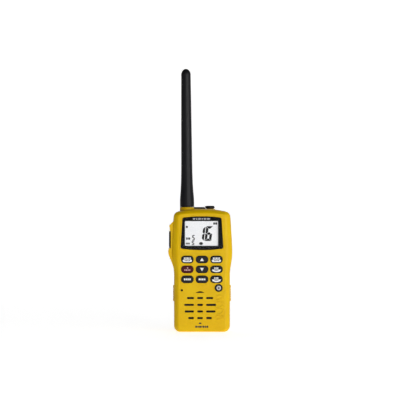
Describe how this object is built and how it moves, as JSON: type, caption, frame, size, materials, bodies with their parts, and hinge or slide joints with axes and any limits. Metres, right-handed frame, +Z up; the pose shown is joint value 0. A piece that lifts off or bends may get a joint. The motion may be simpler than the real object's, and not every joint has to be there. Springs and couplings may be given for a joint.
{
  "type": "handheld radio transceiver",
  "caption": "Water-resistant handheld VHF radio: rounded case, display, rubber keypad, side talk key, screw-on whip antenna, jack cover, clip-on battery pack and belt clip.",
  "frame": {"origin": "middle of the flat base that the radio stands on, half way between its sides and half way through its depth", "axes": "+Z up along the case towards the antenna tip, -Y out of the front with the display, +X to the right seen from the front; the talk key is at -X"},
  "size_m": [0.0662, 0.0465, 0.2727],
  "materials": {
    "yellow_shell": "fine moulded, satin",
    "yellow_housing": "fine moulded, satin",
    "battery_shell": "fine moulded, satin",
    "black_rubber": "matt moulded rubber",
    "black_plastic": "fine moulded",
    "surround_black": "gloss",
    "window_clear": "clear, polished",
    "lcd": "backlit white display",
    "backlight": "frosted",
    "holder_white": "moulded",
    "key_black": "satin silicone rubber",
    "key_red": "satin silicone rubber",
    "key_grey": "satin silicone rubber",
    "mat_rubber": "matt silicone rubber",
    "seal_rubber": "matt",
    "pcb": "green solder mask",
    "spring_steel": "bright",
    "steel": "plated",
    "screw_steel": "plated",
    "aluminium": "die cast",
    "brass": "machined",
    "contact_gold": "plated, bright",
    "mesh_black": "woven",
    "cone_paper": "mylar",
    "magnet": "plated",
    "cell_wrap": "wrapped",
    "component_black": "moulded"
  },
  "bodies": {
    "radio": {"front_case": "yellow_shell", "rear_case": "yellow_shell", "ptt_housing": "yellow_housing", "ptt_switch": "component_black", "display_window": "window_clear", "display_bezel": "surround_black", "lcd_panel": "lcd", "lcd_backlight": "backlight", "lcd_holder": "holder_white", "keypad_mat": "mat_rubber", "key_domes": "spring_steel", "control_board": "pcb", "speaker_mesh": "mesh_black", "speaker_frame": "steel", "speaker_cone": "cone_paper", "speaker_magnet": "magnet", "microphone": "steel", "mic_boot": "seal_rubber", "main_board": "pcb", "rf_shield": "steel", "rf_power_module": "component_black", "chassis_plate": "aluminium", "board_screws": "screw_steel", "case_screws": "screw_steel", "radio_contacts": "contact_gold", "case_gasket": "seal_rubber", "antenna_connector": "brass", "rf_feed": "contact_gold", "pressure_vent": "seal_rubber", "jack_socket": "black_plastic", "jack_strap": "black_rubber"},
    "battery_pack": {"battery_case": "battery_shell", "pack_seal": "seal_rubber", "battery_base": "black_plastic", "battery_cells": "cell_wrap", "battery_board": "pcb", "battery_terminals": "contact_gold", "clip_bracket": "black_plastic", "clip_screws": "screw_steel", "clip_pin": "steel", "clip_spring": "spring_steel"},
    "belt_clip": {"belt_clip": "black_plastic"},
    "latch_left": {"latch_left": "battery_shell"},
    "latch_right": {"latch_right": "battery_shell"},
    "antenna_seal": {"antenna_seal": "seal_rubber"},
    "antenna": {"antenna_whip": "black_rubber", "antenna_ferrule": "brass", "antenna_core": "spring_steel"},
    "ptt_button": {"ptt_button": "black_rubber"},
    "jack_cap": {"jack_cap": "black_rubber"},
    "key_power": {"key_power": "key_grey"},
    "key_r1c1": {"key_r1c1": "key_black"},
    "key_r1c2": {"key_r1c2": "key_black"},
    "key_r1c3": {"key_r1c3": "key_black"},
    "key_r2c1": {"key_r2c1": "key_red"},
    "key_r2c2": {"key_r2c2": "key_black"},
    "key_r2c3": {"key_r2c3": "key_black"},
    "key_r3c1": {"key_r3c1": "key_black"},
    "key_r3c2": {"key_r3c2": "key_black"},
    "key_r3c3": {"key_r3c3": "key_black"}
  },
  "joints": [
    {"name": "antenna_lift", "type": "slide", "parent": "radio", "child": "antenna_seal", "axis": [-0.0087, 0, 1], "range_m": [0, 0.00564]},
    {"name": "antenna_screw", "type": "hinge", "parent": "antenna_seal", "child": "antenna", "pos_m": [-0.0155, 0.007, 0.1289], "axis": [-0.0087, 0, 1], "range_deg": [0, 2881]},
    {"name": "ptt_press", "type": "slide", "parent": "radio", "child": "ptt_button", "axis": [1, 0, 0], "range_m": [0, 0.0008], "stiffness_N_per_m": 900},
    {"name": "jack_cap_hinge", "type": "hinge", "parent": "radio", "child": "jack_cap", "pos_m": [0.0034, 0.007, 0.1293], "axis": [0, -1, 0], "range_deg": [0, 120]},
    {"name": "key_power_press", "type": "slide", "parent": "radio", "child": "key_power", "axis": [0, 1, 0], "range_m": [0, 0.0006], "stiffness_N_per_m": 700},
    {"name": "battery_release", "type": "slide", "parent": "radio", "child": "battery_pack", "axis": [0, 1, 0], "range_m": [0, 0.01]},
    {"name": "latch_left_press", "type": "slide", "parent": "battery_pack", "child": "latch_left", "axis": [1, 0, 0], "range_m": [0, 0.00151]},
    {"name": "latch_right_press", "type": "slide", "parent": "battery_pack", "child": "latch_right", "axis": [-1, 0, 0], "range_m": [0, 0.00151]},
    {"name": "clip_hinge", "type": "hinge", "parent": "battery_pack", "child": "belt_clip", "pos_m": [0, 0.0226, 0.088], "axis": [1, 0, 0], "range_deg": [0, 18], "stiffness_Nm_per_rad": 0.35},
    {"name": "key_r1c1_press", "type": "slide", "parent": "radio", "child": "key_r1c1", "axis": [0, 1, 0], "range_m": [0, 0.0006], "stiffness_N_per_m": 700},
    {"name": "key_r1c2_press", "type": "slide", "parent": "radio", "child": "key_r1c2", "axis": [0, 1, 0], "range_m": [0, 0.0006], "stiffness_N_per_m": 700},
    {"name": "key_r1c3_press", "type": "slide", "parent": "radio", "child": "key_r1c3", "axis": [0, 1, 0], "range_m": [0, 0.0006], "stiffness_N_per_m": 700},
    {"name": "key_r2c1_press", "type": "slide", "parent": "radio", "child": "key_r2c1", "axis": [0, 1, 0], "range_m": [0, 0.0006], "stiffness_N_per_m": 700},
    {"name": "key_r2c2_press", "type": "slide", "parent": "radio", "child": "key_r2c2", "axis": [0, 1, 0], "range_m": [0, 0.0006], "stiffness_N_per_m": 700},
    {"name": "key_r2c3_press", "type": "slide", "parent": "radio", "child": "key_r2c3", "axis": [0, 1, 0], "range_m": [0, 0.0006], "stiffness_N_per_m": 700},
    {"name": "key_r3c1_press", "type": "slide", "parent": "radio", "child": "key_r3c1", "axis": [0, 1, 0], "range_m": [0, 0.0006], "stiffness_N_per_m": 700},
    {"name": "key_r3c2_press", "type": "slide", "parent": "radio", "child": "key_r3c2", "axis": [0, 1, 0], "range_m": [0, 0.0006], "stiffness_N_per_m": 700},
    {"name": "key_r3c3_press", "type": "slide", "parent": "radio", "child": "key_r3c3", "axis": [0, 1, 0], "range_m": [0, 0.0006], "stiffness_N_per_m": 700}
  ],
  "couplings": [
    {"joint": "antenna_screw", "follows": "antenna_lift", "rad_per_m": 8904.7},
    {"joint": "latch_left_press", "follows": "battery_release", "ratio": 0.15},
    {"joint": "latch_right_press", "follows": "battery_release", "ratio": 0.15}
  ]
}
